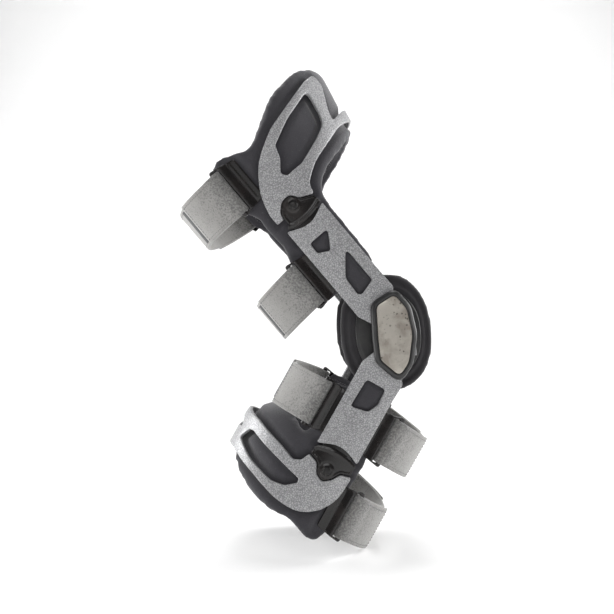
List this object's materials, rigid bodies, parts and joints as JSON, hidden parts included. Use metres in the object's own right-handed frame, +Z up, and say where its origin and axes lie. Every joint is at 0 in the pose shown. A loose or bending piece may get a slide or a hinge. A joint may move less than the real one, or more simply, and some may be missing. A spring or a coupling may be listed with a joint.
{
  "type": "hinged knee brace",
  "caption": "Rigid-frame knee brace: metal thigh and calf cuffs on uprights, joined at each side of the knee by a geared two-pivot hinge, with padded liners and straps.",
  "frame": {"origin": "centre of the knee, midway between the two hinges and midway between each hinge's two pivots", "axes": "+X to the front of the knee, +Z up along the wearer, -Y to the outer side"},
  "size_m": [0.2352, 0.1742, 0.4446],
  "materials": {
    "frame_coat": "textured silver-grey powder coat",
    "black_plastic": "semi-gloss moulded nylon",
    "hinge_plastic": "satin moulded nylon",
    "liner_foam": "charcoal knit over foam",
    "condyle_foam": "charcoal suede-faced foam",
    "strap_webbing": "light grey brushed loop webbing",
    "aged_nickel": "aged nickel with dark speckles",
    "rivet_steel": "dulled steel",
    "hinge_steel": "ground steel"
  },
  "bodies": {
    "thigh": {"thigh_cuff": "frame_coat", "thigh_hook_strip_lateral": "liner_foam", "thigh_hook_strip_medial": "liner_foam", "thigh_liner": "liner_foam", "thigh_link_lateral": "black_plastic", "thigh_link_medial": "black_plastic", "thigh_link_rivet_lateral": "rivet_steel", "thigh_link_rivet_medial": "rivet_steel", "thigh_lower_bracket_lateral": "black_plastic", "thigh_lower_bracket_medial": "black_plastic", "thigh_lower_strap": "strap_webbing", "thigh_upper_bracket_lateral": "black_plastic", "thigh_upper_bracket_medial": "black_plastic", "thigh_upper_strap": "strap_webbing", "thigh_upright_lateral": "frame_coat", "thigh_upright_medial": "frame_coat"},
    "lateral_hinge": {"condyle_cup_lateral": "hinge_plastic", "condyle_pad_lateral": "condyle_foam", "extension_stop_lateral": "hinge_steel", "flexion_stop_lateral": "hinge_steel", "hinge_cap_lateral": "hinge_plastic", "hinge_face_plate_lateral": "aged_nickel", "hinge_inner_plate_lateral": "hinge_steel", "hinge_lower_rivet_lateral": "rivet_steel", "hinge_outer_plate_lateral": "hinge_steel", "hinge_upper_rivet_lateral": "rivet_steel"},
    "medial_hinge": {"condyle_cup_medial": "hinge_plastic", "condyle_pad_medial": "condyle_foam", "extension_stop_medial": "hinge_steel", "flexion_stop_medial": "hinge_steel", "hinge_cap_medial": "hinge_plastic", "hinge_face_plate_medial": "aged_nickel", "hinge_inner_plate_medial": "hinge_steel", "hinge_lower_rivet_medial": "rivet_steel", "hinge_outer_plate_medial": "hinge_steel", "hinge_upper_rivet_medial": "rivet_steel"},
    "calf": {"calf_cuff": "frame_coat", "calf_front_lower_bracket_lateral": "black_plastic", "calf_front_lower_bracket_medial": "black_plastic", "calf_front_lower_strap": "strap_webbing", "calf_front_upper_bracket_lateral": "black_plastic", "calf_front_upper_bracket_medial": "black_plastic", "calf_front_upper_strap": "strap_webbing", "calf_hook_strip_lateral": "liner_foam", "calf_hook_strip_medial": "liner_foam", "calf_liner": "liner_foam", "calf_link_lateral": "black_plastic", "calf_link_medial": "black_plastic", "calf_link_rivet_lateral": "rivet_steel", "calf_link_rivet_medial": "rivet_steel", "calf_rear_bracket_lateral": "black_plastic", "calf_rear_bracket_medial": "black_plastic", "calf_rear_strap": "strap_webbing", "calf_upright_lateral": "frame_coat", "calf_upright_medial": "frame_coat"}
  },
  "joints": [
    {"name": "lateral_hinge_turn", "type": "hinge", "parent": "thigh", "child": "lateral_hinge", "pos_m": [-0.00096, 0, 0.00995], "axis": [0, 1, 0], "range_deg": [-35, 2.5]},
    {"name": "medial_hinge_turn", "type": "hinge", "parent": "thigh", "child": "medial_hinge", "pos_m": [-0.00096, 0, 0.00995], "axis": [0, 1, 0], "range_deg": [-35, 2.5]},
    {"name": "calf_turn", "type": "hinge", "parent": "lateral_hinge", "child": "calf", "pos_m": [0.00096, 0, -0.00995], "axis": [0, 1, 0], "range_deg": [-35, 2.5]}
  ],
  "couplings": [
    {"joint": "medial_hinge_turn", "follows": "lateral_hinge_turn", "ratio": 1},
    {"joint": "calf_turn", "follows": "lateral_hinge_turn", "ratio": 1}
  ]
}
